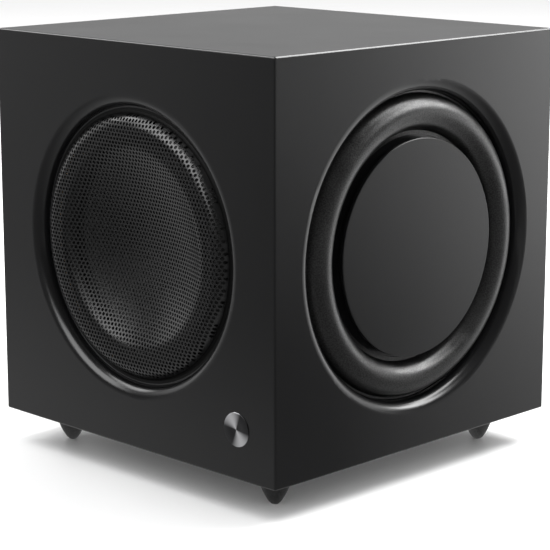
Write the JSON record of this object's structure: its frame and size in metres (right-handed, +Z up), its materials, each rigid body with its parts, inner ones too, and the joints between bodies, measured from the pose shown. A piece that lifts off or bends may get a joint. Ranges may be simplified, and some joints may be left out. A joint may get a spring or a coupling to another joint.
{
  "type": "subwoofer",
  "caption": "Cube-shaped powered subwoofer on cone feet, with a domed perforated grille in front and a round passive radiator in each side.",
  "frame": {"origin": "on the floor, under the middle of the bounding box", "axes": "+Z up; the grille faces -Y, the controls face +Y, and the passive radiators face +X and -X"},
  "size_m": [0.32, 0.3306, 0.347],
  "materials": {
    "painted_mdf": "satin black paint",
    "bare_mdf": "raw",
    "wadding": "fibre wadding",
    "foot_rubber": "satin",
    "roll_rubber": "satin",
    "seal_foam": "foam",
    "grille_steel": "satin black",
    "black_plastic": "matte",
    "badge_metal": "spun",
    "basket_alloy": "black coated",
    "black_screw": "black zinc",
    "ferrite": "ferrite",
    "steel": "zinc plated",
    "copper": "enamelled winding",
    "former_metal": "thin foil",
    "cone_paper": "coated black",
    "spider_cloth": "resin cloth",
    "radiator_metal": "satin black",
    "board_green": "solder mask",
    "core": "taped winding",
    "can": "sleeved",
    "plate_black": "powder coat",
    "sink_black": "anodised",
    "lens": "clear",
    "rocker_plastic": "gloss",
    "contact_metal": "plated",
    "lead_sleeve": "cable jacket"
  },
  "bodies": {
    "cabinet": {"top_panel": "painted_mdf", "bottom_panel": "painted_mdf", "left_panel": "painted_mdf", "right_panel": "painted_mdf", "front_panel": "painted_mdf", "rear_panel": "painted_mdf", "inner_baffle": "bare_mdf", "corner_blocks": "bare_mdf", "damping_pads": "wadding", "badge": "badge_metal", "grille": "grille_steel", "grille_ring": "black_plastic", "left_front_foot": "foot_rubber", "left_rear_foot": "foot_rubber", "right_front_foot": "foot_rubber", "right_rear_foot": "foot_rubber", "foot_studs": "steel", "woofer_basket": "basket_alloy", "driver_gaskets": "seal_foam", "woofer_screws": "black_screw", "magnet": "ferrite", "top_plate": "steel", "yoke": "steel", "woofer_terminals": "black_plastic", "radiator_screws": "black_screw", "amplifier_plate": "plate_black", "amplifier_gasket": "seal_foam", "amplifier_screws": "black_screw", "heat_sink": "sink_black", "amplifier_board": "board_green", "board_standoffs": "steel", "transformer": "core", "capacitors": "can", "board_controls": "black_plastic", "status_lens": "lens", "line_sockets": "contact_metal", "mains_inlet": "black_plastic", "inlet_blades": "contact_metal", "switch_housing": "black_plastic", "speaker_lead": "lead_sleeve", "left_radiator_frame": "black_plastic", "right_radiator_frame": "black_plastic"},
    "woofer_motion": {"cone": "cone_paper", "dust_cap": "cone_paper", "voice_coil_former": "former_metal", "voice_coil": "copper", "woofer_surround": "roll_rubber", "spider": "spider_cloth"},
    "right_radiator": {"right_radiator_plate": "radiator_metal", "right_radiator_surround": "roll_rubber", "right_radiator_weight": "steel", "right_radiator_bolt": "steel"},
    "left_radiator": {"left_radiator_plate": "radiator_metal", "left_radiator_surround": "roll_rubber", "left_radiator_weight": "steel", "left_radiator_bolt": "steel"},
    "level_control": {"level_knob": "black_plastic"},
    "crossover_control": {"crossover_knob": "black_plastic"},
    "pair_control": {"pair_button": "black_plastic"},
    "power_control": {"power_rocker": "rocker_plastic"}
  },
  "joints": [
    {"name": "woofer_excursion", "type": "slide", "parent": "cabinet", "child": "woofer_motion", "axis": [0, -1, 0], "range_m": [-0.009, 0.009], "stiffness_N_per_m": 3000, "deforming": ["woofer_surround", "spider"]},
    {"name": "right_radiator_excursion", "type": "slide", "parent": "cabinet", "child": "right_radiator", "axis": [1, 0, 0], "range_m": [-0.01, 0.01], "stiffness_N_per_m": 2500, "deforming": ["right_radiator_surround"]},
    {"name": "left_radiator_excursion", "type": "slide", "parent": "cabinet", "child": "left_radiator", "axis": [-1, 0, 0], "range_m": [-0.01, 0.01], "stiffness_N_per_m": 2500, "deforming": ["left_radiator_surround"]},
    {"name": "level_turn", "type": "hinge", "parent": "cabinet", "child": "level_control", "pos_m": [0.052, 0.1603, 0.28], "axis": [0, 1, 0], "range_deg": [-150, 150]},
    {"name": "crossover_turn", "type": "hinge", "parent": "cabinet", "child": "crossover_control", "pos_m": [0.016, 0.1603, 0.28], "axis": [0, 1, 0], "range_deg": [-150, 150]},
    {"name": "pair_press", "type": "slide", "parent": "cabinet", "child": "pair_control", "axis": [0, -1, 0], "range_m": [0, 0.0006], "stiffness_N_per_m": 300},
    {"name": "power_rock", "type": "hinge", "parent": "cabinet", "child": "power_control", "pos_m": [0.034, 0.1558, 0.111], "axis": [1, 0, 0], "range_deg": [0, 16]}
  ],
  "couplings": [
    {"joint": "left_radiator_excursion", "follows": "right_radiator_excursion", "ratio": 1}
  ]
}
